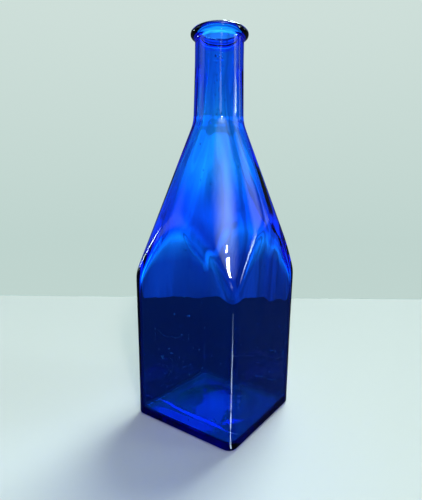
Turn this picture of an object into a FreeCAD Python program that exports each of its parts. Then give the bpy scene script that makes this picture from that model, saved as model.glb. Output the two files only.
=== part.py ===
"""Square cobalt glass ink bottle with a conical shoulder and a flanged lip.

The bottle is blown glass. Its body is a square column with rounded corners, a little narrower at
the foot than at the shoulder. A round cone closes it, and where the cone cuts the four flat sides
it leaves an arch on each. A slightly tapered neck stands on the cone. A second gather of hot glass
is laid round the end of the neck and tooled into a thin flange, the lip ring.

Millimetres, +Z up. The origin is the middle of the foot, on the surface that the bottle stands on,
and the flat sides face X and Y.
"""

import FreeCAD, Part
import math
import os

import Sketcher

# Driving dimensions: alias, millimetres, what it measures.
DIMENSIONS = (
    ("total_height", 220.0, "foot to the top of the mouth"),
    ("base_width", 68.0, "across the flat sides at the foot"),
    ("shoulder_width", 70.0, "across the flat sides at the height of the shoulder corners"),
    ("shoulder_height", 86.0, "where the cone meets the upright corners"),
    ("neck_root_height", 171.0, "where the cone meets the neck"),
    ("corner_radius", 5.0, "outside radius of the upright corners"),
    ("heel_radius", 1.6, "rounding between the sides and the foot"),
    ("arch_blend", 5.0, "outside radius along the arches between the cone and the flat sides"),
    ("side_wall", 2.4, "glass in the flat sides and in the cone"),
    ("floor_thickness", 2.8, "glass in the floor, at its edge"),
    ("inside_corner_radius", 4.0, "radius of the chamber's upright corners"),
    ("inside_floor_radius", 2.4, "rounding between the chamber's sides and its floor"),
    ("inside_arch_blend", 5.0, "radius along the arches of the chamber"),
    ("push_up_diameter", 50.0, "width of the dished hollow under the foot"),
    ("push_up_depth", 1.8, "depth of that hollow in the middle"),
    ("bore_diameter", 20.8, "straight part of the mouth, where a cork seats"),
    ("bore_length", 20.0, "length of that straight part, up to the top of the mouth"),
    ("mouth_wall", 3.0, "glass round the straight part, at the top"),
    ("mouth_edge_radius", 2.4, "fire-polished inner edge of the mouth"),
    ("neck_taper", 0.9, "how much larger the neck's outside radius is at its root"),
    ("neck_wall", 2.4, "glass at the neck's root"),
    ("neck_root_blend", 30.0, "radius of the hollow curve from the cone into the neck"),
    ("lip_height", 6.0, "height of the lip ring on the neck"),
    ("lip_projection", 2.6, "how far the lip ring stands out from the top of the neck"),
    ("lip_rim_thickness", 3.8, "thickness of the lip ring at its outer edge"),
    ("lip_edge_radius", 1.8, "rounding of that outer edge, above and below"),
    ("lip_skirt_length", 1.2, "how far the lip ring's lower part lies thinly along the neck"),
    ("lip_skirt_thickness", 0.4, "thickness of the lip ring where that part ends"),
    ("lip_throat_radius", 1.6, "hollow curve from the skirt into the flange"),
)
SHEET = "Sizes"
CONE_REACH = 12.0  # how far the outline that cuts the cone reaches past the upright corners
LEVEL_TOLERANCE = 0.01  # an edge counts as level when its box is thinner than this

doc = FreeCAD.newDocument("ink_bottle")
sheet = doc.addObject("Spreadsheet::Sheet", SHEET)
for row, (alias, millimetres, meaning) in enumerate(DIMENSIONS, start=1):
    sheet.set(f"A{row}", meaning)
    sheet.set(f"B{row}", str(millimetres))
    sheet.setAlias(f"B{row}", alias)
doc.recompute()


def cell(alias):
    """The expression that reads one driving dimension."""
    return f"{SHEET}.{alias}"


def worked_out(expression):
    """The number that an expression gives with the sheet as it is."""
    return float(sheet.evalExpression(expression))


TOTAL_HEIGHT = cell("total_height")
ROOT_HEIGHT = cell("neck_root_height")
BORE_RADIUS = f"({cell('bore_diameter')} / 2)"
NECK_TOP_RADIUS = f"({BORE_RADIUS} + {cell('mouth_wall')})"
NECK_ROOT_RADIUS = f"({NECK_TOP_RADIUS} + {cell('neck_taper')})"


# ---- helpers for sketches -----------------------------------------------------------------------


def new_sketch(body, name, plane, height=None):
    """An empty sketch on one of the body's own origin planes, lifted to height if one is given."""
    sketch = body.newObject("Sketcher::SketchObject", name)
    support = next(f for f in body.Origin.OriginFeatures if f.Role == plane)
    sketch.AttachmentSupport = (support, [""])
    sketch.MapMode = "FlatFace"
    if height is not None:
        sketch.setExpression("AttachmentOffset.Base.z", height)
    return sketch


def bind(sketch, constraint, expression):
    """Adds a constraint with a size and ties that size to an expression."""
    index = sketch.addConstraint(constraint)
    sketch.setExpression(f"Constraints[{index}]", expression)


def outline_sketch(body, name, corners):
    """A closed outline of straight lines in the XZ plane; each corner is (radius, height)."""
    sketch = new_sketch(body, name, "XZ_Plane")
    places = [FreeCAD.Vector(worked_out(r), worked_out(z), 0) for r, z in corners]
    count = len(places)
    for i, place in enumerate(places):
        sketch.addGeometry(Part.LineSegment(place, places[(i + 1) % count]))
    for i in range(count):
        sketch.addConstraint(Sketcher.Constraint("Coincident", i, 2, (i + 1) % count, 1))
    for i, (radius, height) in enumerate(corners):
        place = places[i]
        if radius == "0":
            sketch.addConstraint(Sketcher.Constraint("PointOnObject", i, 1, -2))
        else:
            bind(sketch, Sketcher.Constraint("DistanceX", -1, 1, i, 1, place.x), radius)
        if height == "0":
            sketch.addConstraint(Sketcher.Constraint("PointOnObject", i, 1, -1))
        else:
            bind(sketch, Sketcher.Constraint("DistanceY", -1, 1, i, 1, place.y), height)
    return sketch


def rounded_square_sketch(body, name, width, radius, height):
    """A square with rounded corners, centred on the axis: each side is followed by its corner."""
    sketch = new_sketch(body, name, "XY_Plane", height)
    half, corner = worked_out(width) / 2, worked_out(radius)
    straight = half - corner
    up = FreeCAD.Vector(0, 0, 1)
    for quarter in range(4):
        turn = FreeCAD.Rotation(up, 90 * quarter)
        start = turn.multVec(FreeCAD.Vector(-straight, -half, 0))
        end = turn.multVec(FreeCAD.Vector(straight, -half, 0))
        centre = turn.multVec(FreeCAD.Vector(straight, -straight, 0))
        began = math.radians(90 * (quarter - 1))
        sketch.addGeometry(Part.LineSegment(start, end))
        circle = Part.Circle(centre, up, corner)
        sketch.addGeometry(Part.ArcOfCircle(circle, began, began + math.pi / 2))
    for side in range(0, 8, 2):
        sketch.addConstraint(Sketcher.Constraint("Tangent", side, 2, side + 1, 1))
        sketch.addConstraint(Sketcher.Constraint("Tangent", side + 1, 2, (side + 2) % 8, 1))
        level = "Horizontal" if side in (0, 4) else "Vertical"
        sketch.addConstraint(Sketcher.Constraint(level, side))
    for corner_arc in (3, 5, 7):
        sketch.addConstraint(Sketcher.Constraint("Equal", 1, corner_arc))
    sketch.addConstraint(Sketcher.Constraint("Symmetric", 0, 1, 4, 1, -1, 1))
    bind(sketch, Sketcher.Constraint("Radius", 1, corner), radius)
    bind(sketch, Sketcher.Constraint("DistanceX", 6, 1, 2, 1, 2 * half), width)
    bind(sketch, Sketcher.Constraint("DistanceY", 0, 1, 4, 1, 2 * half), width)
    return sketch


# ---- helpers for features -----------------------------------------------------------------------


def turned(body, kind, name, sketch):
    """A full turn of a sketch about the bottle's axis: a Revolution or a Groove."""
    feature = body.newObject(f"PartDesign::{kind}", name)
    feature.Profile = sketch
    feature.ReferenceAxis = (sketch, ["V_Axis"])
    feature.Angle = 360.0
    doc.recompute()
    return feature


def rounded(body, name, base, wanted, radius):
    """A fillet on every edge of base that passes the test, which is given the edge's box."""
    names = [
        f"Edge{i}" for i, edge in enumerate(base.Shape.Edges, start=1) if wanted(edge.BoundBox)
    ]
    fillet = body.newObject("PartDesign::Fillet", name)
    fillet.Base = (base, names)
    fillet.setExpression("Radius", radius)
    doc.recompute()
    return fillet


def level_with(height):
    """A test for an edge that lies level at that height."""
    level = worked_out(height)
    return lambda box: max(abs(box.ZMin - level), abs(box.ZMax - level)) < LEVEL_TOLERANCE


# ---- the bottle's form, used for its outside and for its chamber --------------------------------


def squared_cone(body, inset, corner, floor, arch):
    """A tapered square column cut by the shoulder cone, both moved inwards by inset.

    The column goes from floor up to the neck's root. The cone runs from the reach of the outside's
    upright corners at shoulder height to the outside of the neck at its root.
    """
    taper = f"({cell('shoulder_width')} - {cell('base_width')}) / {cell('shoulder_height')}"
    foot = f"{cell('base_width')} - 2 * {inset} + {taper} * {floor}"
    top = f"{cell('base_width')} - 2 * {inset} + {taper} * {ROOT_HEIGHT}"
    column = body.newObject("PartDesign::AdditiveLoft", f"{body.Name}_column")
    column.Profile = rounded_square_sketch(body, f"{body.Name}_foot", foot, corner, floor)
    column.Sections = [rounded_square_sketch(body, f"{body.Name}_top", top, corner, ROOT_HEIGHT)]
    column.Ruled = True
    doc.recompute()

    half_diagonal = f"{cell('shoulder_width')} * sqrt(2) / 2"
    corner_reach = f"({half_diagonal} - {cell('corner_radius')} * (sqrt(2) - 1))"
    rise = f"({ROOT_HEIGHT} - {cell('shoulder_height')})"
    lean = f"(({corner_reach} - {NECK_ROOT_RADIUS}) / {rise})"
    # A wall is measured square to the glass, so on the leaning cone it is wider when level.
    level_inset = f"({inset} * sqrt(1 + {lean} * {lean}))"
    cone_foot = f"{cell('shoulder_height')} - {CONE_REACH} / {lean}"
    waste = outline_sketch(
        body,
        f"{body.Name}_waste",
        [
            (f"{NECK_ROOT_RADIUS} - {level_inset}", ROOT_HEIGHT),
            (f"{corner_reach} + {CONE_REACH} - {level_inset}", cone_foot),
            (f"{corner_reach} + 2 * {CONE_REACH}", cone_foot),
            (f"{corner_reach} + 2 * {CONE_REACH}", ROOT_HEIGHT),
        ],
    )
    cone = turned(body, "Groove", f"{body.Name}_cone", waste)
    if cone.Shape.Volume > 0.99 * column.Shape.Volume:
        raise RuntimeError(f"{cone.Name} cut nothing")
    middle, root = worked_out(cell("shoulder_height")) / 2, worked_out(ROOT_HEIGHT)

    def is_arch(box):
        return box.ZMin > middle and box.ZMax < root - LEVEL_TOLERANCE

    return rounded(body, f"{body.Name}_arches", cone, is_arch, arch)


# ---- chamber: the space inside, which the bottle's body is hollowed by --------------------------


def chamber():
    """The ink's space, the inside of the neck and the straight bore that takes a cork."""
    body = doc.addObject("PartDesign::Body", "chamber")
    floor = cell("floor_thickness")
    inside_corner = cell("inside_corner_radius")
    inside_arch = cell("inside_arch_blend")
    form = squared_cone(body, cell("side_wall"), inside_corner, floor, inside_arch)
    rounded(body, "floor_edge", form, level_with(floor), cell("inside_floor_radius"))
    # The neck's inside widens in one line from the bore down past its root, into the cone.
    bore_foot = f"({TOTAL_HEIGHT} - {cell('bore_length')})"
    root_inside = f"({NECK_ROOT_RADIUS} - {cell('neck_wall')})"
    widening = f"({root_inside} - {BORE_RADIUS}) / ({bore_foot} - {ROOT_HEIGHT})"
    neck_foot = f"{ROOT_HEIGHT} - 2 * {cell('neck_wall')}"
    outline = [
        ("0", neck_foot),
        (f"{root_inside} + {widening} * 2 * {cell('neck_wall')}", neck_foot),
        (BORE_RADIUS, bore_foot),
        (BORE_RADIUS, TOTAL_HEIGHT),
        ("0", TOTAL_HEIGHT),
    ]
    turned(body, "Revolution", "chamber_neck", outline_sketch(body, "neck_inside", outline))
    return body


# ---- bottle_body: the blown glass ---------------------------------------------------------------


def push_up(body):
    """The dished hollow under the foot, which leaves a flat ring of glass to stand on."""
    radius, depth = worked_out(cell("push_up_diameter")) / 2, worked_out(cell("push_up_depth"))
    dome_radius = (radius**2 + depth**2) / (2 * depth)
    centre = FreeCAD.Vector(0, depth - dome_radius, 0)
    edge = math.acos(radius / dome_radius)
    sketch = new_sketch(body, "push_up_outline", "XZ_Plane")
    top, middle, rim = (FreeCAD.Vector(*place) for place in ((0, depth, 0), (0, 0, 0), (radius, 0, 0)))
    circle = Part.Circle(centre, FreeCAD.Vector(0, 0, 1), dome_radius)
    sketch.addGeometry(Part.ArcOfCircle(circle, edge, math.pi / 2))
    sketch.addGeometry(Part.LineSegment(top, middle))
    sketch.addGeometry(Part.LineSegment(middle, rim))
    sketch.addConstraint(Sketcher.Constraint("Coincident", 0, 2, 1, 1))
    sketch.addConstraint(Sketcher.Constraint("Coincident", 1, 2, 2, 1))
    sketch.addConstraint(Sketcher.Constraint("Coincident", 2, 2, 0, 1))
    sketch.addConstraint(Sketcher.Constraint("Coincident", 1, 2, -1, 1))
    sketch.addConstraint(Sketcher.Constraint("PointOnObject", 0, 3, -2))
    sketch.addConstraint(Sketcher.Constraint("PointOnObject", 1, 1, -2))
    sketch.addConstraint(Sketcher.Constraint("PointOnObject", 2, 2, -1))
    half = Sketcher.Constraint("DistanceX", -1, 1, 2, 2, radius)
    bind(sketch, half, f"{cell('push_up_diameter')} / 2")
    bind(sketch, Sketcher.Constraint("DistanceY", -1, 1, 1, 1, depth), cell("push_up_depth"))
    return turned(body, "Groove", "push_up", sketch)


def bottle_body():
    """The squared cone and its neck, with the push-up under the foot, hollowed by the chamber."""
    inside = chamber()
    body = doc.addObject("PartDesign::Body", "bottle_body")
    body.Label = "bottle_body"
    form = squared_cone(body, "0", cell("corner_radius"), "0", cell("arch_blend"))
    heel = rounded(body, "heel", form, level_with("0"), cell("heel_radius"))
    dished = push_up(body)
    if dished.Shape.Volume > heel.Shape.Volume - 1:
        raise RuntimeError("the push-up cut nothing")
    outline = [
        ("0", f"{ROOT_HEIGHT} - 2 * {cell('neck_wall')}"),
        (NECK_ROOT_RADIUS, ROOT_HEIGHT),
        (NECK_TOP_RADIUS, TOTAL_HEIGHT),
        ("0", TOTAL_HEIGHT),
    ]
    neck = turned(body, "Revolution", "neck", outline_sketch(body, "neck_outside", outline))
    blend = rounded(body, "neck_root", neck, level_with(ROOT_HEIGHT), cell("neck_root_blend"))
    hollowed = body.newObject("PartDesign::Boolean", "hollowed")
    hollowed.Type = "Cut"
    hollowed.setObjects([inside])
    doc.recompute()
    if hollowed.Shape.Volume > 0.5 * blend.Shape.Volume:
        raise RuntimeError("the chamber was not cut out")
    at_top = level_with(TOTAL_HEIGHT)
    widest = worked_out(f"2 * {BORE_RADIUS}") + LEVEL_TOLERANCE

    def is_mouth(box):
        return at_top(box) and box.XLength < widest

    rounded(body, "mouth_edge", hollowed, is_mouth, cell("mouth_edge_radius"))
    return body


# ---- lip_ring: the second gather, tooled into a flange ------------------------------------------


def lip_ring():
    """A ring that lies on the outside of the neck's end, flush with the mouth."""
    body = doc.addObject("PartDesign::Body", "lip_ring")
    body.Label = "lip_ring"
    foot = f"({TOTAL_HEIGHT} - {cell('lip_height')})"
    neck_lean = f"{cell('neck_taper')} / ({TOTAL_HEIGHT} - {ROOT_HEIGHT})"
    neck_at_foot = f"({NECK_TOP_RADIUS} + {neck_lean} * {cell('lip_height')})"
    skirt_top = f"{foot} + {cell('lip_skirt_length')}"
    skirt_radius = f"{neck_at_foot} + {cell('lip_skirt_thickness')}"
    rim_radius = f"{NECK_TOP_RADIUS} + {cell('lip_projection')}"
    rim_foot = f"{TOTAL_HEIGHT} - {cell('lip_rim_thickness')}"
    outline = [
        (neck_at_foot, foot),
        (skirt_radius, skirt_top),
        (rim_radius, rim_foot),
        (rim_radius, TOTAL_HEIGHT),
        (NECK_TOP_RADIUS, TOTAL_HEIGHT),
    ]
    ring = turned(body, "Revolution", "flange", outline_sketch(body, "flange_outline", outline))
    throat = rounded(body, "throat", ring, level_with(skirt_top), cell("lip_throat_radius"))
    lower, upper = level_with(rim_foot), level_with(TOTAL_HEIGHT)
    widest = worked_out(f"2 * ({rim_radius})") - LEVEL_TOLERANCE

    def is_rim(box):
        return (lower(box) or upper(box)) and box.XLength > widest

    rounded(body, "rim", throat, is_rim, cell("lip_edge_radius"))
    return body


# ---- build, check and write ---------------------------------------------------------------------

pieces = [bottle_body(), lip_ring()]
doc.recompute()

failed = [item.Name for item in doc.Objects if {"Invalid", "Error"} & set(item.State)]
if failed:
    raise RuntimeError(f"objects that did not build: {failed}")
for piece in pieces:
    if piece.Shape.isNull() or not piece.Shape.isValid() or len(piece.Shape.Solids) != 1:
        raise RuntimeError(f"{piece.Label} is not one valid solid")

os.makedirs("parts", exist_ok=True)
for piece in pieces:
    piece.Shape.exportStep(os.path.join("parts", f"{piece.Label}.step"))
    box = piece.Shape.BoundBox
    size = f"{box.XLength:.2f} x {box.YLength:.2f} x {box.ZLength:.2f} mm"
    print(f"{piece.Label}: {size}, {piece.Shape.Volume / 1000:.1f} cm3")
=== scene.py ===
"""A square cobalt glass ink bottle on a pale table, in metres, +Z up, the bottle's foot at the origin."""

import bpy
import numpy as np
from math import cos, pi, radians, sin
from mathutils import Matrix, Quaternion, Vector


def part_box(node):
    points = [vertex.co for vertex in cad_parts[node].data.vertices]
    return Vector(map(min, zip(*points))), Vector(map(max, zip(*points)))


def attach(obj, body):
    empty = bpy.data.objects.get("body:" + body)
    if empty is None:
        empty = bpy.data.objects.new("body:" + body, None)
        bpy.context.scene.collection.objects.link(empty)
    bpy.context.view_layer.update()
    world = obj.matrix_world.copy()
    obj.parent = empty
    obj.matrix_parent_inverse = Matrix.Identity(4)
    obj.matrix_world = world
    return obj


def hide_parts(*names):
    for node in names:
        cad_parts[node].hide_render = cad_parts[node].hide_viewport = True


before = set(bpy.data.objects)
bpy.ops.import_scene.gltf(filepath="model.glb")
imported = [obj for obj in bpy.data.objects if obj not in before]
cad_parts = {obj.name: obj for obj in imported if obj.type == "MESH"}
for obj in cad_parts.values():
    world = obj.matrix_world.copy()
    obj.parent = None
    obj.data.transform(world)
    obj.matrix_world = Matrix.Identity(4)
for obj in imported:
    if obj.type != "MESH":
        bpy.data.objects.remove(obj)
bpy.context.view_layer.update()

# ---- camera -------------------------------------------------------------------------------------
# A phone's wide view from a little in front of the bottle's near corner, level with its shoulder.
# It looks slightly down and is held a little out of true.

EYE_BEARING = radians(34.76)
EYE_DISTANCE = 0.2330
EYE_HEIGHT = 0.1309
LOOK_BEARING = radians(35.65)
LOOK_DOWN = radians(7.93)
TILT = 0.0095

camera_data = bpy.data.cameras.new("camera")
camera_data.lens = 28.6
camera_data.sensor_width = 36.0
camera_data.clip_start = 0.01
camera = bpy.data.objects.new("camera", camera_data)
bpy.context.scene.collection.objects.link(camera)
bpy.context.scene.camera = camera
camera.location = (EYE_DISTANCE * sin(EYE_BEARING), -EYE_DISTANCE * cos(EYE_BEARING), EYE_HEIGHT)
forward = Vector((-sin(LOOK_BEARING) * cos(LOOK_DOWN), cos(LOOK_BEARING) * cos(LOOK_DOWN), -sin(LOOK_DOWN)))
camera.rotation_mode = "QUATERNION"
camera.rotation_quaternion = forward.to_track_quat("-Z", "Y") @ Quaternion((0, 0, 1), TILT)

# ---- table --------------------------------------------------------------------------------------
# A plain pale matt table top. Its far edge runs square to the camera's view, not far behind the
# bottle. Seen through the glass or in reflections it is dark.

TABLE_BEHIND = 0.265
TABLE_BEFORE = 3.0
TABLE_HALF_WIDTH = 3.0
TABLE_THICKNESS = 0.03
TABLE_TOP = -0.0002  # the bottle rests on a few high spots, so a film of air lies under its foot
TABLE_COLOR = (0.62, 0.57, 0.52, 1.0)
THROUGH_GLASS = (0.05, 0.05, 0.065, 1.0)
IN_REFLECTIONS = (0.02, 0.02, 0.02, 1.0)

away = np.array([-sin(LOOK_BEARING), cos(LOOK_BEARING), 0.0])
aside = np.array([cos(LOOK_BEARING), sin(LOOK_BEARING), 0.0])
table_corners = np.array([
    side * TABLE_HALF_WIDTH * aside + reach * away + np.array([0.0, 0.0, level])
    for level in (-TABLE_THICKNESS, TABLE_TOP)
    for side, reach in ((-1, -TABLE_BEFORE), (1, -TABLE_BEFORE), (1, TABLE_BEHIND), (-1, TABLE_BEHIND))
])
table_mesh = bpy.data.meshes.new("table")
table_mesh.from_pydata(
    table_corners.tolist(),
    [],
    [(3, 2, 1, 0), (4, 5, 6, 7), (0, 1, 5, 4), (1, 2, 6, 5), (2, 3, 7, 6), (3, 0, 4, 7)],
)
table = bpy.data.objects.new("table", table_mesh)
bpy.context.scene.collection.objects.link(table)

table_paint = bpy.data.materials.new("pale_table")
table_paint.use_nodes = True
table_nodes = table_paint.node_tree
table_shader = table_nodes.nodes["Principled BSDF"]
table_shader.inputs["Roughness"].default_value = 0.55
table_shader.inputs["Specular IOR Level"].default_value = 0.2
table_path = table_nodes.nodes.new("ShaderNodeLightPath")
table_through = table_nodes.nodes.new("ShaderNodeMix")
table_through.data_type = "RGBA"
table_through.inputs["A"].default_value = TABLE_COLOR
table_reflected = table_nodes.nodes.new("ShaderNodeMix")
table_reflected.data_type = "RGBA"
table_reflected.inputs["B"].default_value = IN_REFLECTIONS
table_tone = table_reflected.outputs["Result"]
table_nodes.links.new(table_path.outputs["Is Transmission Ray"], table_through.inputs["Factor"])
table_nodes.links.new(table_path.outputs["Is Reflection Ray"], table_reflected.inputs["Factor"])
table_nodes.links.new(table_through.outputs["Result"], table_reflected.inputs["A"])
table_nodes.links.new(table_tone, table_shader.inputs["Base Color"])

# A painted pool of light and two painted bright lines on the table under the bottle's foot, seen only
# through the glass; they stand in for light that the bottle gathers. Each is a soft ellipse: middle, half
# lengths, turn and how far its edge wobbles, in metres and radians, then its strength.
PAINTED_LIGHT_POOLS = (
    (-0.004 * away[0], -0.004 * away[1], 0.013, 0.036, LOOK_BEARING - radians(22), 0.016, 1.0),
    (-0.004, -0.0175, 0.034, 0.0016, -0.05, 0.003, 4.0),
    (-0.006, -0.0245, 0.026, 0.0055, 0.03, 0.004, 1.6),
)
pool_place = table_nodes.nodes.new("ShaderNodeTexCoord")
pool_wobble = table_nodes.nodes.new("ShaderNodeTexNoise")
pool_wobble.inputs["Scale"].default_value = 70.0  # waves of about 14 mm
table_nodes.links.new(pool_place.outputs["Object"], pool_wobble.inputs["Vector"])
painted_pool_light = None
for middle_x, middle_y, half_x, half_y, turned, wobble, strength in PAINTED_LIGHT_POOLS:
    pool_shift = table_nodes.nodes.new("ShaderNodeVectorMath")
    pool_shift.operation = "MULTIPLY_ADD"
    pool_shift.inputs[1].default_value = (wobble, wobble, 0.0)
    pool_frame = table_nodes.nodes.new("ShaderNodeMapping")
    pool_frame.vector_type = "TEXTURE"
    pool_frame.inputs["Location"].default_value = (middle_x + wobble / 2, middle_y + wobble / 2, 0.0)
    pool_frame.inputs["Rotation"].default_value = (0.0, 0.0, turned)
    pool_frame.inputs["Scale"].default_value = (half_x, half_y, 0.05)
    pool_disc = table_nodes.nodes.new("ShaderNodeTexGradient")
    pool_disc.gradient_type = "SPHERICAL"
    pool_edge = table_nodes.nodes.new("ShaderNodeMapRange")
    pool_edge.interpolation_type = "SMOOTHSTEP"
    pool_edge.inputs["From Min"].default_value = 0.05
    pool_edge.inputs["From Max"].default_value = 0.35
    pool_edge.inputs["To Max"].default_value = strength
    table_nodes.links.new(pool_wobble.outputs["Color"], pool_shift.inputs[0])
    table_nodes.links.new(pool_place.outputs["Object"], pool_shift.inputs[2])
    table_nodes.links.new(pool_shift.outputs["Vector"], pool_frame.inputs["Vector"])
    table_nodes.links.new(pool_frame.outputs["Vector"], pool_disc.inputs["Vector"])
    table_nodes.links.new(pool_disc.outputs["Fac"], pool_edge.inputs["Value"])
    if painted_pool_light is None:
        painted_pool_light = pool_edge.outputs["Result"]
    else:
        pool_sum = table_nodes.nodes.new("ShaderNodeMath")
        pool_sum.operation = "MAXIMUM"
        table_nodes.links.new(painted_pool_light, pool_sum.inputs[0])
        table_nodes.links.new(pool_edge.outputs["Result"], pool_sum.inputs[1])
        painted_pool_light = pool_sum.outputs["Value"]
# Painted light: where the pools lie, the table's colour seen through the glass goes from THROUGH_GLASS up
# to white.
painted_pool_tone = table_nodes.nodes.new("ShaderNodeMix")
painted_pool_tone.data_type = "RGBA"
painted_pool_tone.clamp_factor = False
painted_pool_tone.inputs["A"].default_value = THROUGH_GLASS
painted_pool_tone.inputs["B"].default_value = (1.0, 1.0, 1.0, 1.0)
table_nodes.links.new(painted_pool_light, painted_pool_tone.inputs["Factor"])
table_nodes.links.new(painted_pool_tone.outputs["Result"], table_through.inputs["B"])

# Seen through glass or reflected, the table is quite matt, so that it shows no windows of its own.
table_matt = table_nodes.nodes.new("ShaderNodeBsdfDiffuse")
table_side = table_nodes.nodes.new("ShaderNodeMath")
table_side.operation = "MAXIMUM"
table_mixed = table_nodes.nodes.new("ShaderNodeMixShader")
table_nodes.links.new(table_path.outputs["Is Transmission Ray"], table_side.inputs[0])
table_nodes.links.new(table_path.outputs["Is Reflection Ray"], table_side.inputs[1])
table_nodes.links.new(table_side.outputs["Value"], table_mixed.inputs["Fac"])
table_nodes.links.new(table_tone, table_matt.inputs["Color"])
table_nodes.links.new(table_shader.outputs["BSDF"], table_mixed.inputs[1])
table_nodes.links.new(table_matt.outputs["BSDF"], table_mixed.inputs[2])
table_nodes.links.new(table_mixed.outputs["Shader"], table_nodes.nodes["Material Output"].inputs["Surface"])
table_mesh.materials.append(table_paint)

# ---- room light ---------------------------------------------------------------------------------
# A plain pale grey-green room. Through the glass it is brighter and streaked, with a darker band behind
# the neck. The camera doesn't see its soft windows, which show in the glass and light the table.

scene_world = bpy.data.worlds.new("room")
bpy.context.scene.world = scene_world
scene_world.use_nodes = True
room = scene_world.node_tree
room.nodes.clear()
room_place = room.nodes.new("ShaderNodeTexCoord")
room_split = room.nodes.new("ShaderNodeSeparateXYZ")
room_level = room.nodes.new("ShaderNodeMapRange")
room_path = room.nodes.new("ShaderNodeLightPath")
room.links.new(room_place.outputs["Generated"], room_split.inputs[0])
room.links.new(room_split.outputs["Z"], room_level.inputs["Value"])
LEVEL_LOW, LEVEL_HIGH = -0.35, 0.45  # sines of the elevations between which the bands lie
room_level.inputs["From Min"].default_value = LEVEL_LOW
room_level.inputs["From Max"].default_value = LEVEL_HIGH


def room_bands(name, stops):
    """Horizontal bands of colour; each stop is (sine of the elevation, red, green, blue)."""
    bands = room.nodes.new("ShaderNodeValToRGB")
    bands.name = name
    ramp = bands.color_ramp
    for level, red, green, blue in stops:
        place = (level - LEVEL_LOW) / (LEVEL_HIGH - LEVEL_LOW)
        stop = ramp.elements.new(place)
        stop.color = (red, green, blue, 1.0)
    ramp.elements.remove(ramp.elements[0])
    ramp.elements.remove(ramp.elements[-1])
    room.links.new(room_level.outputs["Result"], bands.inputs["Fac"])
    return bands.outputs["Color"]


seen_room = room_bands("seen_room", ((-0.10, 0.52, 0.66, 0.62), (0.40, 0.62, 0.74, 0.70)))
room_through = room_bands("room_through_glass", (
    (-0.27, 0.08, 0.12, 0.20),
    (-0.16, 0.12, 0.18, 0.26),
    (-0.10, 0.30, 0.60, 0.46),
    (-0.03, 0.36, 1.20, 0.80),
    (0.155, 0.36, 1.00, 0.80),
    (0.180, 0.32, 0.56, 0.34),
    (0.315, 0.22, 0.50, 0.32),
    (0.335, 0.14, 0.30, 0.44),
    (0.385, 0.14, 0.34, 0.44),
    (0.405, 0.16, 0.95, 0.66),
    (0.440, 0.20, 0.85, 0.66),
))
room_mix = room.nodes.new("ShaderNodeMix")
room_mix.data_type = "RGBA"
room.links.new(room_path.outputs["Is Transmission Ray"], room_mix.inputs["Factor"])
room.links.new(seen_room, room_mix.inputs["A"])
room.links.new(room_through, room_mix.inputs["B"])

# Upright streaks in what shows through the glass: noise that is drawn out along the height, then turned
# into a strength from nothing to STREAK_STRENGTH.
STREAK_STRENGTH = 1.8
room_stretch = room.nodes.new("ShaderNodeMapping")
room_stretch.inputs["Scale"].default_value = (5.0, 5.0, 0.9)
room_streaks = room.nodes.new("ShaderNodeTexNoise")
room_streaks.inputs["Scale"].default_value = 1.3
room_streaks.inputs["Detail"].default_value = 2.0
room_contrast = room.nodes.new("ShaderNodeMapRange")
room_contrast.inputs["From Min"].default_value = 0.36
room_contrast.inputs["From Max"].default_value = 0.62
room_contrast.inputs["To Min"].default_value = 0.0
room_contrast.inputs["To Max"].default_value = STREAK_STRENGTH
room.links.new(room_place.outputs["Generated"], room_stretch.inputs["Vector"])
room.links.new(room_stretch.outputs["Vector"], room_streaks.inputs["Vector"])
room.links.new(room_streaks.outputs["Fac"], room_contrast.inputs["Value"])

# The room's strength is 1 to the camera, less in reflections and on matt surfaces, and 1 with the streaks
# added through the glass.
IN_GLOSS_CHANGE = -0.93
ON_MATT_CHANGE = -0.4
room_in_gloss = room.nodes.new("ShaderNodeMath")
room_on_matt = room.nodes.new("ShaderNodeMath")
room_strength = room.nodes.new("ShaderNodeMath")
for step, ray in (
    (room_in_gloss, "Is Reflection Ray"),
    (room_on_matt, "Is Diffuse Ray"),
    (room_strength, "Is Transmission Ray"),
):
    step.operation = "MULTIPLY_ADD"
    room.links.new(room_path.outputs[ray], step.inputs[0])
room_in_gloss.inputs[1].default_value = IN_GLOSS_CHANGE
room_in_gloss.inputs[2].default_value = 1.0
room_on_matt.inputs[1].default_value = ON_MATT_CHANGE
room.links.new(room_in_gloss.outputs["Value"], room_on_matt.inputs[2])
room.links.new(room_contrast.outputs["Result"], room_strength.inputs[1])
room.links.new(room_on_matt.outputs["Value"], room_strength.inputs[2])
room_glow = room.nodes.new("ShaderNodeBackground")
room.links.new(room_mix.outputs["Result"], room_glow.inputs["Color"])
room.links.new(room_strength.outputs["Value"], room_glow.inputs["Strength"])

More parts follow.
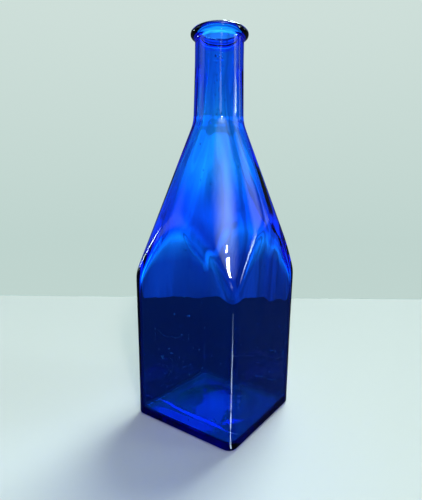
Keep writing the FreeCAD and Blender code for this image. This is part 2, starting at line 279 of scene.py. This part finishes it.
# Soft windows: bearing from the camera and elevation of the middle, half width and half height, all in
# degrees, then the radiance in the middle and how soft the edge is, from 0 to 1.
WINDOW_COLOR = (0.74, 1.0, 1.05, 1.0)
SOFT_WINDOWS = (
    (19, 50, 27, 17, 1.6, 0.6),
    (17, 38, 21, 12, 4.6, 0.9),
    (86, 30, 17, 14, 1.8, 0.6),
    (80, 9, 8, 12, 18.0, 0.9),
    (74, 15, 9, 14, 2.4, 0.7),
    (108, 14, 8, 13, 1.0, 0.7),
    (9, 13, 8, 13, 2.2, 0.8),
    (-88, 13, 20, 20, 0.6, 0.5),
    (-116, 4, 7, 10, 14.0, 0.6),
    (180, 42, 50, 18, 1.0, 0.5),
    (0, 86, 30, 30, 1.4, 0.6),
    (150, 60, 14, 14, 26.0, 0.4),
)
window_light = None
for bearing, elevation, half_width, half_height, radiance, softness in SOFT_WINDOWS:
    turn, rise = LOOK_BEARING + radians(bearing), radians(elevation)
    towards = Vector((sin(turn) * cos(rise), -cos(turn) * cos(rise), sin(rise)))
    spread = (sin(radians(half_width)), sin(radians(half_height)), 1.0)
    frame_of_window = room.nodes.new("ShaderNodeMapping")
    frame_of_window.vector_type = "TEXTURE"
    frame_of_window.inputs["Location"].default_value = towards
    frame_of_window.inputs["Rotation"].default_value = towards.to_track_quat("Z", "Y").to_euler()
    frame_of_window.inputs["Scale"].default_value = spread
    window_disc = room.nodes.new("ShaderNodeTexGradient")
    window_disc.gradient_type = "SPHERICAL"
    window_edge = room.nodes.new("ShaderNodeMapRange")
    window_edge.interpolation_type = "SMOOTHSTEP"
    window_edge.inputs["From Max"].default_value = softness
    window_edge.inputs["To Max"].default_value = radiance
    room.links.new(room_place.outputs["Generated"], frame_of_window.inputs["Vector"])
    room.links.new(frame_of_window.outputs["Vector"], window_disc.inputs["Vector"])
    room.links.new(window_disc.outputs["Fac"], window_edge.inputs["Value"])
    if window_light is None:
        window_light = window_edge.outputs["Result"]
    else:
        window_sum = room.nodes.new("ShaderNodeMath")
        room.links.new(window_light, window_sum.inputs[0])
        room.links.new(window_edge.outputs["Result"], window_sum.inputs[1])
        window_light = window_sum.outputs["Value"]
window_hidden = room.nodes.new("ShaderNodeMath")
window_hidden.operation = "MULTIPLY_ADD"
window_hidden.inputs[1].default_value = -1.0
window_hidden.inputs[2].default_value = 1.0
window_shown = room.nodes.new("ShaderNodeMath")
window_shown.operation = "MULTIPLY"
window_glow = room.nodes.new("ShaderNodeBackground")
window_glow.inputs["Color"].default_value = WINDOW_COLOR
room_sum = room.nodes.new("ShaderNodeAddShader")
room_out = room.nodes.new("ShaderNodeOutputWorld")
room.links.new(room_path.outputs["Is Camera Ray"], window_hidden.inputs[0])
room.links.new(window_hidden.outputs["Value"], window_shown.inputs[0])
room.links.new(window_light, window_shown.inputs[1])
room.links.new(window_shown.outputs["Value"], window_glow.inputs["Strength"])
room.links.new(room_glow.outputs["Background"], room_sum.inputs[0])
room.links.new(window_glow.outputs["Background"], room_sum.inputs[1])
room.links.new(room_sum.outputs["Shader"], room_out.inputs["Surface"])

# ---- lamps --------------------------------------------------------------------------------------
# A small hard window with a transom above it, high in front, which make the bright spots low on the
# shoulder. Bearings count from the camera, positive to its right.

LAMP_AIM = Vector((0.0, 0.0, 0.11))
LAMP_DISTANCE = 2.5


def soft_box(name, bearing, elevation, width, height, radiance):
    """A rectangular lamp that faces the bottle; its power is radiance times pi times its area."""
    lamp_data = bpy.data.lights.new(name, "AREA")
    lamp_data.shape = "RECTANGLE"
    lamp_data.size = width
    lamp_data.size_y = height
    lamp_data.energy = radiance * pi * width * height
    lamp = bpy.data.objects.new(name, lamp_data)
    bpy.context.scene.collection.objects.link(lamp)
    turn, rise = LOOK_BEARING + radians(bearing), radians(elevation)
    out = Vector((sin(turn) * cos(rise), -cos(turn) * cos(rise), sin(rise)))
    lamp.location = LAMP_AIM + LAMP_DISTANCE * out
    lamp.rotation_mode = "QUATERNION"
    lamp.rotation_quaternion = (-out).to_track_quat("-Z", "Y")
    lamp.visible_camera = False


soft_box("window_lamp", 17, 29.6, 0.16, 0.17, 170)
soft_box("transom_lamp", 16, 33.2, 0.12, 0.06, 120)

# A blue glow on the table before the bottle, as from light that has come through the glass.
GLOW_HEIGHT = 1.0
GLOW_BEFORE, GLOW_LEFT = 0.085, 0.030
glow_data = bpy.data.lights.new("blue_glow", "SPOT")
glow_data.color = (0.12, 0.28, 1.0)
glow_data.energy = 14.0
glow_data.spot_size = radians(11)
glow_data.spot_blend = 1.0
glow_data.shadow_soft_size = 0.06
glow_lamp = bpy.data.objects.new("blue_glow", glow_data)
bpy.context.scene.collection.objects.link(glow_lamp)
glow_lamp.location = -GLOW_LEFT * aside - GLOW_BEFORE * away + np.array([0.0, 0.0, GLOW_HEIGHT])
glow_lamp.visible_camera = False
glow_lamp.visible_glossy = False
glow_lamp.visible_transmission = False

# Four strips in line on the table before the near corner, wider further out. They show in the corner as
# one thin upright line. Each has its near and far end and its width, in millimetres, and its radiance.
STRIP_COLOR = (0.62, 0.82, 1.0)
STRIP_START = Vector((0.0325, -0.0325, 0.0005))
strip_turn = radians(-38.5)
strip_out = Vector((cos(strip_turn), sin(strip_turn), 0.0))
for name, near, far, width, radiance in (
    ("strip_near", 2, 20, 2.6, 13),
    ("strip_middle", 20, 62, 8.0, 13),
    ("strip_far", 62, 140, 17.0, 11),
    ("strip_last", 140, 235, 20.0, 5),
):
    strip_data = bpy.data.lights.new(name, "AREA")
    strip_data.shape = "RECTANGLE"
    strip_data.size = width * 0.001
    strip_data.size_y = (far - near) * 0.001
    strip_data.energy = radiance * pi * strip_data.size * strip_data.size_y
    strip_data.color = STRIP_COLOR
    strip = bpy.data.objects.new(name, strip_data)
    bpy.context.scene.collection.objects.link(strip)
    strip.location = STRIP_START + (near + far) / 2 * 0.001 * strip_out
    strip.rotation_euler = (pi, 0.0, strip_turn - pi / 2)
    strip.visible_camera = False
    strip.visible_diffuse = False
    strip.visible_transmission = False

# ---- bottle glass -------------------------------------------------------------------------------
# One wall of cobalt glass, blown into a square mould: foot, flat sides, conical shoulder and neck, with
# the lip laid on as a second gather and melted into one with the neck. The skin starts in the middle of
# the foot, runs up the outside, over the lip and down the inside. Sizes are in millimetres.

MM = 0.001
(body_low, body_high), (lip_low, lip_high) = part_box("bottle_body"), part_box("lip_ring")
TOP = body_high[2] / MM
LIP_FOOT = lip_low[2] / MM
LIP_RADIUS = (lip_high[0] - lip_low[0]) / 2 / MM

FOOT_HALF_WIDTH = 34.0
SHOULDER_HALF_WIDTH = 35.0
SHOULDER_HEIGHT = 86.0
ROOT_HEIGHT = 171.0
CORNER_RADIUS = 5.0
HEEL_RADIUS = 1.6
NECK_ROOT_RADIUS = 14.3
NECK_TOP_RADIUS = 13.4
BORE_RADIUS = 10.4
BORE_FOOT = TOP - 20.0
ROOT_INSIDE_RADIUS = 11.9
RIM_EDGE = 2.2
MOUTH_EDGE = 2.4
PUSH_UP_RADIUS = 25.0
PUSH_UP_DEPTH = 1.8
WALL = 2.4
SHOULDER_GAIN = 1.3
FLOOR = 2.8
INSIDE_CORNER = 4.0
INSIDE_FLOOR_RADIUS = 2.4
ARCH_BLEND = 2.4
INSIDE_ARCH_BLEND = 4.6
ROOT_BLEND = 2.2
INSIDE_ROOT_BLEND = 0.9
FLOOR_SWELL = 1.0
WAVE_ROOM = 0.10  # the outside stands this much in, so that its waves stay within the bottle's widest size

CORNER_REACH = SHOULDER_HALF_WIDTH * 2**0.5 - CORNER_RADIUS * (2**0.5 - 1)
CONE_LEAN = (CORNER_REACH - NECK_ROOT_RADIUS) / (ROOT_HEIGHT - SHOULDER_HEIGHT)
SIDE_LEAN = (SHOULDER_HALF_WIDTH - FOOT_HALF_WIDTH) / SHOULDER_HEIGHT
LEVEL_WALL = WALL * (1 + CONE_LEAN**2) ** 0.5

# Columns of the grid, round the bottle. They crowd together at the four corners: with q counting quarter
# turns, the angle is (q + CROWDING sin(2 pi q) / (2 pi)) times a quarter turn.
COLUMNS = 176
CROWDING = 0.84
quarter_turns = np.arange(COLUMNS) / COLUMNS * 4
angles = (quarter_turns + CROWDING / (2 * pi) * np.sin(2 * pi * quarter_turns)) * pi / 2


def rounded_square(angle, half_width, corner):
    """Distance from the axis to a rounded square, in the direction angle.

    With c and s the larger and smaller of |cos| and |sin|, it is half_width / c on a flat side. On a
    corner it is the far root of r^2 - 2 b r + 2 m^2 - corner^2 = 0, where m = half_width - corner is
    the arc's centre along both axes and b = m (c + s).
    """
    c = np.maximum(np.abs(np.cos(angle)), np.abs(np.sin(angle)))
    s = np.minimum(np.abs(np.cos(angle)), np.abs(np.sin(angle)))
    centre = half_width - corner
    b = centre * (c + s)
    arc = b + np.sqrt(np.maximum(b**2 - 2 * centre**2 + corner**2, 0.0))
    return np.where(half_width * s / c > centre, arc, half_width / c)


def lesser(a, b, blend):
    """The smaller of a and b, with a round passage: min(a, b) - max(blend - |a - b|, 0)^3 / (6 blend^2)."""
    return np.minimum(a, b) - np.maximum(blend - np.abs(a - b), 0.0) ** 3 / (6 * blend**2)


def outside(angle, height):
    """Outer radius of the glass from the heel to the lip, in millimetres.

    Below the root it is the lesser of the tapering square and the cone, above it the neck, which
    narrows in a straight line from the root to the top. The greater of the two is taken softly.
    """
    half_width = FOOT_HALF_WIDTH + SIDE_LEAN * height
    square = rounded_square(angle, half_width, CORNER_RADIUS)
    cone = NECK_ROOT_RADIUS + CONE_LEAN * (ROOT_HEIGHT - height)
    share = (height - ROOT_HEIGHT) / (TOP - ROOT_HEIGHT)
    neck = NECK_ROOT_RADIUS + (NECK_TOP_RADIUS - NECK_ROOT_RADIUS) * share
    return lesser(square, -lesser(-cone, -neck, ROOT_BLEND), ARCH_BLEND)


def inside(angle, height):
    """Inner radius of the glass from the chamber's floor to the bore, in millimetres.

    It follows the outside one wall further in: a square, a cone, and a neck that narrows in a straight
    line from its root to the foot of the bore. The cone's wall gains SHOULDER_GAIN towards its foot,
    as a smooth step 3 t^2 - 2 t^3.
    """
    half_width = FOOT_HALF_WIDTH + SIDE_LEAN * height - WALL
    square = rounded_square(angle, half_width, INSIDE_CORNER)
    t = np.clip((150 - height) / 32, 0, 1)
    gain = SHOULDER_GAIN * t**2 * (3 - 2 * t)
    cone = NECK_ROOT_RADIUS - LEVEL_WALL - gain + CONE_LEAN * (ROOT_HEIGHT - height)
    share = np.clip((height - ROOT_HEIGHT) / (BORE_FOOT - ROOT_HEIGHT), None, 1.0)
    neck = ROOT_INSIDE_RADIUS + (BORE_RADIUS - ROOT_INSIDE_RADIUS) * share
    return lesser(square, -lesser(-cone, -neck, INSIDE_ROOT_BLEND), INSIDE_ARCH_BLEND)


def ripple(angle, height, seed, size, turns, pitch):
    """Unevenness of blown glass: a sum of waves round and along the bottle, up to about size.

    Each wave is cos(n angle + k height + phase), for each whole n in turns, with |k| under 2 pi / pitch.
    """
    draw = np.random.default_rng(seed)
    total = np.zeros(np.broadcast(angle, height).shape)
    for n in turns:
        along = draw.uniform(-1, 1) * 2 * pi / pitch
        total = total + np.cos(n * angle + along * height + draw.uniform(0, 2 * pi))
    return total * size / len(turns)


def graded(*stretches):
    """Heights with chosen spacing; each stretch is (start, end, steps), evenly split, without its end."""
    parts = [np.linspace(start, end, steps, endpoint=False) for start, end, steps in stretches]
    return np.concatenate(parts)


def level(height):
    """The same height at every column."""
    return np.full(COLUMNS, height)


rows = []  # from foot to floor: (distance from the axis, height) at every column

# Underside: a dome up to the push-up's rim, a flat ring out to the heel, and the heel's quarter round.
dome_radius = (PUSH_UP_RADIUS**2 + PUSH_UP_DEPTH**2) / (2 * PUSH_UP_DEPTH)
for share in np.linspace(0.08, 1.0, 14):
    reach = PUSH_UP_RADIUS * share
    dome = PUSH_UP_DEPTH - dome_radius + (dome_radius**2 - reach**2) ** 0.5
    rows.append((level(reach), level(dome)))
heel_start = rounded_square(angles, FOOT_HALF_WIDTH - HEEL_RADIUS, CORNER_RADIUS - HEEL_RADIUS)
for share in np.linspace(0.0, 1.0, 6)[1:-1]:
    rows.append((PUSH_UP_RADIUS + (heel_start - PUSH_UP_RADIUS) * share, np.zeros(COLUMNS)))
for turn in np.linspace(0, pi / 2, 10)[:-1]:
    inset = HEEL_RADIUS * (1 - sin(turn))
    lift = HEEL_RADIUS * (1 - cos(turn))
    ring = rounded_square(angles, FOOT_HALF_WIDTH + SIDE_LEAN * lift - inset, CORNER_RADIUS - inset)
    rows.append((ring, level(lift)))

# Outside: sides, arches, cone, neck root and neck.
outside_heights = graded(
    (HEEL_RADIUS, 84, 30), (84, 121, 56), (121, 163, 18),
    (163, 179, 22), (179, LIP_FOOT, 16),
)
for height in outside_heights:
    fade = np.clip((height - HEEL_RADIUS) / 10, 0, 1) * np.clip((LIP_FOOT - height) / 10, 0, 1)
    wave = (ripple(angles, height, 3, 0.20, (1, 2, 3, 5, 7, 10), 45) - WAVE_ROOM) * fade
    rows.append((outside(angles, height) + wave, level(height)))

# Lip: the underside is a cubic from the neck to the rim, upright at both ends; then the rim's quarter
# round, a narrow flat top and the mouth's quarter round. With t the share along the cubic, its weights
# are (1 - t)^3, 3 t (1 - t)^2, 3 t^2 (1 - t) and t^3.
rim_height = TOP - RIM_EDGE
mouth_height = TOP - MOUTH_EDGE
neck_at_lip = float(outside(0.0, LIP_FOOT))
underside_reaches = (neck_at_lip, neck_at_lip, LIP_RADIUS, LIP_RADIUS)
underside_heights = (LIP_FOOT, LIP_FOOT + 2.6, rim_height - 1.8, rim_height)
for share in np.linspace(0, 1, 14)[:-1]:
    weights = ((1 - share) ** 3, 3 * share * (1 - share) ** 2, 3 * share**2 * (1 - share), share**3)
    rows.append((level(np.dot(weights, underside_reaches)), level(np.dot(weights, underside_heights))))
for turn in np.linspace(0, pi / 2, 9):
    reach = LIP_RADIUS - RIM_EDGE * (1 - cos(turn))
    rows.append((level(reach), level(rim_height + RIM_EDGE * sin(turn))))
for turn in np.linspace(pi / 2, pi, 13):
    reach = BORE_RADIUS + MOUTH_EDGE * (1 + cos(turn))
    rows.append((level(reach), level(mouth_height + MOUTH_EDGE * sin(turn))))

# Inside: bore, neck, cone, arches and sides down to the floor's rounding. The waves are weaker on the
# sides than on the cone.
floor_top = FLOOR + INSIDE_FLOOR_RADIUS
inside_heights = graded(
    (mouth_height, BORE_FOOT, 9), (BORE_FOOT, 178, 10), (178, 160, 20),
    (160, 121, 18), (121, 84, 56), (84, floor_top, 28),
)
for height in inside_heights[1:]:
    fade = np.clip((height - floor_top) / 10, 0, 1) * np.clip((BORE_FOOT - height) / 10, 0, 1)
    calm = 0.35 + 0.65 * np.clip((height - 80) / 45, 0, 1)
    wave = ripple(angles, height, 8, 0.62, (2, 3, 5, 6, 8, 11, 13), 60) * fade * calm
    rows.append((inside(angles, height) + wave, level(height)))

# Chamber floor: a quarter round in from the sides, then a floor that swells a little in the middle, by
# FLOOR_SWELL (1 - s^2)^2, and whose rings turn from the square at s = 1 to circles in the middle.
for turn in np.linspace(0, pi / 2, 10):
    inset = INSIDE_FLOOR_RADIUS * (1 - cos(turn))
    height = floor_top - INSIDE_FLOOR_RADIUS * sin(turn)
    half_width = FOOT_HALF_WIDTH + SIDE_LEAN * height - WALL - inset
    rows.append((rounded_square(angles, half_width, INSIDE_CORNER - inset), level(height)))
floor_edge = rows[-1][0]
for share in np.linspace(1, 0.06, 12)[1:]:
    ring = share * (floor_edge * share + PUSH_UP_RADIUS * (1 - share))
    rows.append((ring, level(FLOOR + FLOOR_SWELL * (1 - share**2) ** 2)))

reaches = np.array([reach for reach, _ in rows])
heights = np.array([height for _, height in rows])
skin_points = np.stack([reaches * np.cos(angles), reaches * np.sin(angles), heights], axis=-1)
skin_points = skin_points.reshape(-1, 3)
foot_middle, floor_middle = len(skin_points), len(skin_points) + 1
skin_points = np.vstack([skin_points, [(0, 0, PUSH_UP_DEPTH), (0, 0, FLOOR + FLOOR_SWELL)]])

# Four-sided faces between the rows, and a fan of triangles that closes each end in the middle.
here = np.arange(len(rows) - 1)[:, None] * COLUMNS
column = np.arange(COLUMNS)
onward = (column + 1) % COLUMNS
last = (len(rows) - 1) * COLUMNS
above = here + COLUMNS
skin_quads = np.stack([here + column, here + onward, above + onward, above + column], axis=-1)
foot_fan = np.stack([np.full(COLUMNS, foot_middle), onward, column], axis=-1)
floor_fan = np.stack([np.full(COLUMNS, floor_middle), last + column, last + onward], axis=-1)
skin_faces = skin_quads.reshape(-1, 4).tolist() + foot_fan.tolist() + floor_fan.tolist()

# Seeds: small closed bubbles of air inside the wall, most of them drawn out a little along the bottle.
# Most lie in the lower sides, and a chain of them runs up the front of the neck. Each is a ball of
# SEED_ROWS rings of SEED_COLUMNS points between two poles, the same ball stretched for every seed.
SEED_COLUMNS = 8
SEED_ROWS = 5
draw = np.random.default_rng(21)
low_count, cone_count, neck_count = 210, 26, 30
seed_angles = np.concatenate([
    draw.uniform(-pi, pi, low_count + cone_count),
    radians(-57) + draw.normal(0.0, 0.14, neck_count),
])
seed_heights = np.concatenate([
    8 + 66 * draw.beta(1.1, 2.2, low_count),
    draw.uniform(74, 165, cone_count),
    draw.uniform(168, 211, neck_count),
])
seed_sizes = 0.24 + 0.30 * draw.beta(1.2, 3.0, len(seed_angles))
seed_depth = draw.uniform(0.40, 0.60, len(seed_angles))
seed_outside = outside(seed_angles, seed_heights)
seed_inside = inside(seed_angles, seed_heights)
seed_reach = seed_outside * (1 - seed_depth) + seed_inside * seed_depth
seed_stretch = draw.uniform(0.9, 1.8, len(seed_angles))

ring_turns = np.arange(SEED_COLUMNS) / SEED_COLUMNS * 2 * pi
ring_tilts = np.linspace(-pi / 2, pi / 2, SEED_ROWS + 2)[1:-1]
ball = np.stack([
    np.outer(np.cos(ring_tilts), np.cos(ring_turns)),
    np.outer(np.cos(ring_tilts), np.sin(ring_turns)),
    np.outer(np.sin(ring_tilts), np.ones(SEED_COLUMNS)),
], axis=-1).reshape(-1, 3)
ball = np.vstack([ball, [(0, 0, -1), (0, 0, 1)]])
seed_radii = np.stack([seed_sizes, seed_sizes, seed_sizes * seed_stretch], axis=-1)
seed_middles = np.stack([
    seed_reach * np.cos(seed_angles),
    seed_reach * np.sin(seed_angles),
    seed_heights,
], axis=-1)
seed_points = (seed_middles[:, None, :] + seed_radii[:, None, :] * ball).reshape(-1, 3)

# The balls' faces wind the other way from the skin's, because they are the wall of an empty space.
bubble_ring = np.arange(SEED_ROWS - 1)[:, None] * SEED_COLUMNS
step = np.arange(SEED_COLUMNS)
after = (step + 1) % SEED_COLUMNS
upper = (SEED_ROWS - 1) * SEED_COLUMNS
bottom, top = SEED_ROWS * SEED_COLUMNS, SEED_ROWS * SEED_COLUMNS + 1
ball_quads = np.stack([
    bubble_ring + step,
    bubble_ring + SEED_COLUMNS + step,
    bubble_ring + SEED_COLUMNS + after,
    bubble_ring + after,
], axis=-1).reshape(-1, 4)
ball_fans = np.concatenate([
    np.stack([np.full(SEED_COLUMNS, bottom), step, after], axis=-1),
    np.stack([np.full(SEED_COLUMNS, top), upper + after, upper + step], axis=-1),
])
starts = len(skin_points) + np.arange(len(seed_angles)) * len(ball)
seed_faces = (starts[:, None, None] + ball_quads).reshape(-1, 4).tolist()
seed_faces += (starts[:, None, None] + ball_fans).reshape(-1, 3).tolist()

glass_mesh = bpy.data.meshes.new("bottle_glass")
glass_points = np.vstack([skin_points, seed_points]) * MM
glass_mesh.from_pydata(glass_points.tolist(), [], skin_faces + seed_faces)
glass_mesh.shade_smooth()
glass_mesh.update()
bottle_glass = bpy.data.objects.new("bottle_glass", glass_mesh)
bpy.context.scene.collection.objects.link(bottle_glass)

# Cobalt glass: clear, with a blue that deepens with its thickness, long shallow waves from the mould and
# faint smears from handling.
cobalt = bpy.data.materials.new("cobalt_glass")
cobalt.use_nodes = True
cobalt_nodes = cobalt.node_tree
glass = cobalt_nodes.nodes["Principled BSDF"]
glass.inputs["Base Color"].default_value = (1.0, 1.0, 1.0, 1.0)
glass.inputs["IOR"].default_value = 1.52
glass.inputs["Transmission Weight"].default_value = 1.0
glass_place = cobalt_nodes.nodes.new("ShaderNodeTexCoord")
glass_drawn = cobalt_nodes.nodes.new("ShaderNodeMapping")
glass_drawn.inputs["Scale"].default_value = (1.0, 1.0, 0.22)
glass_waves = cobalt_nodes.nodes.new("ShaderNodeTexNoise")
glass_waves.inputs["Scale"].default_value = 150.0  # waves of about 7 mm, and 30 mm along the height
glass_waves.inputs["Detail"].default_value = 2.0
glass_relief = cobalt_nodes.nodes.new("ShaderNodeBump")
glass_relief.inputs["Strength"].default_value = 1.0
glass_relief.inputs["Distance"].default_value = 0.00006
cobalt_nodes.links.new(glass_place.outputs["Object"], glass_drawn.inputs["Vector"])
cobalt_nodes.links.new(glass_drawn.outputs["Vector"], glass_waves.inputs["Vector"])
cobalt_nodes.links.new(glass_waves.outputs["Fac"], glass_relief.inputs["Height"])
cobalt_nodes.links.new(glass_relief.outputs["Normal"], glass.inputs["Normal"])
glass_handling = cobalt_nodes.nodes.new("ShaderNodeTexNoise")
glass_handling.inputs["Scale"].default_value = 38.0  # smears of about 26 mm
glass_handling.inputs["Detail"].default_value = 4.0
glass_smears = cobalt_nodes.nodes.new("ShaderNodeMapRange")
glass_smears.inputs["From Min"].default_value = 0.48
glass_smears.inputs["From Max"].default_value = 0.72
glass_smears.inputs["To Min"].default_value = 0.0
glass_smears.inputs["To Max"].default_value = 0.05
cobalt_nodes.links.new(glass_place.outputs["Object"], glass_handling.inputs["Vector"])
cobalt_nodes.links.new(glass_handling.outputs["Fac"], glass_smears.inputs["Value"])
cobalt_nodes.links.new(glass_smears.outputs["Result"], glass.inputs["Roughness"])
tint = cobalt_nodes.nodes.new("ShaderNodeVolumeAbsorption")
tint.inputs["Color"].default_value = (0.0, 0.58, 0.964, 1.0)
tint.inputs["Density"].default_value = 1000.0
cobalt_nodes.links.new(tint.outputs["Volume"], cobalt_nodes.nodes["Material Output"].inputs["Volume"])
glass_mesh.materials.append(cobalt)

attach(bottle_glass, "root")
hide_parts("bottle_body", "lip_ring")

# ---- finish -------------------------------------------------------------------------------------

bpy.context.scene.view_settings.view_transform = "Standard"
bpy.context.scene.cycles.max_bounces = 32
bpy.context.scene.cycles.transmission_bounces = 32
bpy.context.scene.cycles.glossy_bounces = 16
